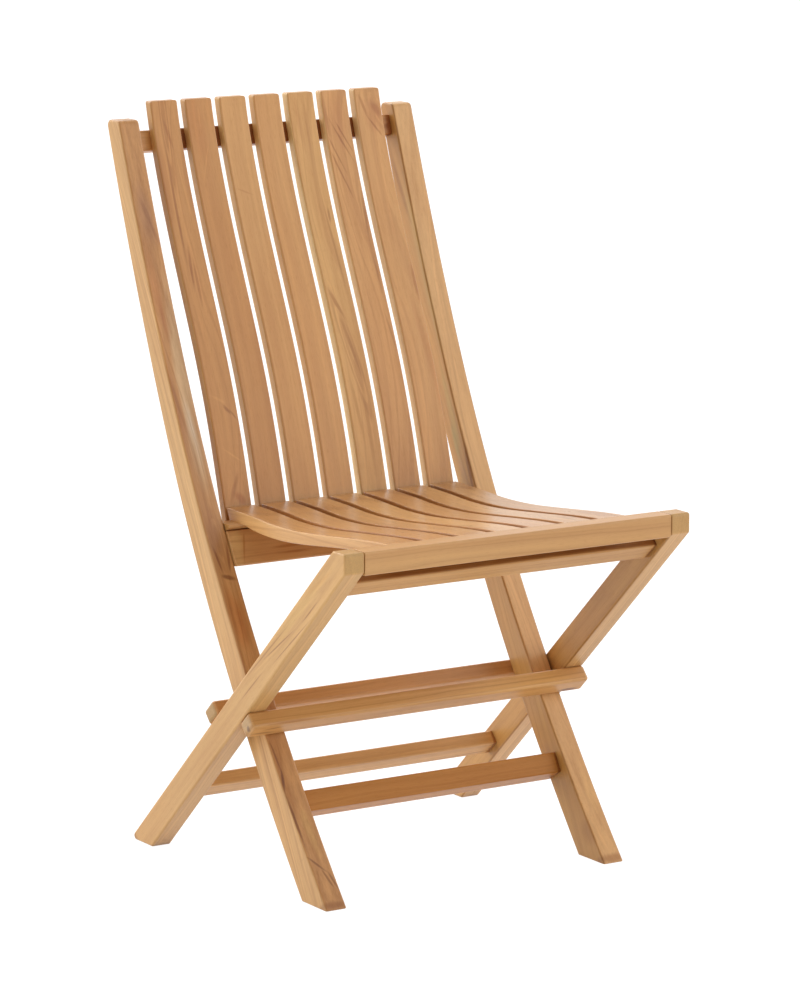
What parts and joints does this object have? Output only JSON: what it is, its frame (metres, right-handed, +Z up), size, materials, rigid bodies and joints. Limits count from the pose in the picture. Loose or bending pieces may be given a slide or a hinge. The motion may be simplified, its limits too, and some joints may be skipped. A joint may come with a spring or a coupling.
{
  "type": "folding chair",
  "caption": "Armless folding garden chair of slatted teak: back posts run down as front legs, crossed legs carry the seat.",
  "frame": {"origin": "on the floor, at the bottom centre of the whole chair's box", "axes": "+X is the width, to the right as seen from the front; the chair faces -Y; +Z is up"},
  "size_m": [0.4754, 0.5937, 0.8934],
  "materials": {
    "frame_teak": "satin sanded, edges eased",
    "slat_teak": "satin sanded, edges eased",
    "seat_teak": "satin sanded, edges eased",
    "dowel_wood": "plain",
    "brass": "plain"
  },
  "bodies": {
    "back_frame": {"left_back_post": "frame_teak", "right_back_post": "frame_teak", "back_top_rail": "frame_teak", "back_lower_board": "frame_teak", "front_foot_stretcher": "frame_teak", "back_slat_1": "slat_teak", "back_slat_2": "slat_teak", "back_slat_3": "slat_teak", "back_slat_4": "slat_teak", "back_slat_5": "slat_teak", "back_slat_6": "slat_teak", "back_slat_7": "slat_teak", "back_slat_screws": "brass", "crossing_pivot_pins": "brass"},
    "leg_frame": {"left_rear_leg": "frame_teak", "right_rear_leg": "frame_teak", "leg_top_crossbar": "frame_teak", "front_cross_bar": "frame_teak", "rear_cross_bar": "frame_teak", "rear_foot_stretcher": "frame_teak", "cross_bar_dowels": "dowel_wood"},
    "seat": {"seat_front_rail": "frame_teak", "seat_rear_rail": "frame_teak", "seat_slat_1": "seat_teak", "seat_slat_2": "seat_teak", "seat_slat_3": "seat_teak", "seat_slat_4": "seat_teak", "seat_slat_5": "seat_teak", "seat_slat_6": "seat_teak", "seat_slat_7": "seat_teak", "seat_slat_screws": "brass", "seat_pivot_pins": "brass"}
  },
  "joints": [
    {"name": "leg_fold", "type": "hinge", "parent": "back_frame", "child": "leg_frame", "pos_m": [0, -0.03575, 0.19708], "axis": [1, 0, 0], "range_deg": [-69, 0]},
    {"name": "seat_lift", "type": "hinge", "parent": "leg_frame", "child": "seat", "pos_m": [0, -0.28525, 0.4243], "axis": [1, 0, 0], "range_deg": [0, 148.55]}
  ],
  "couplings": [
    {"joint": "seat_lift", "follows": "leg_fold", "ratio": -2.15}
  ]
}
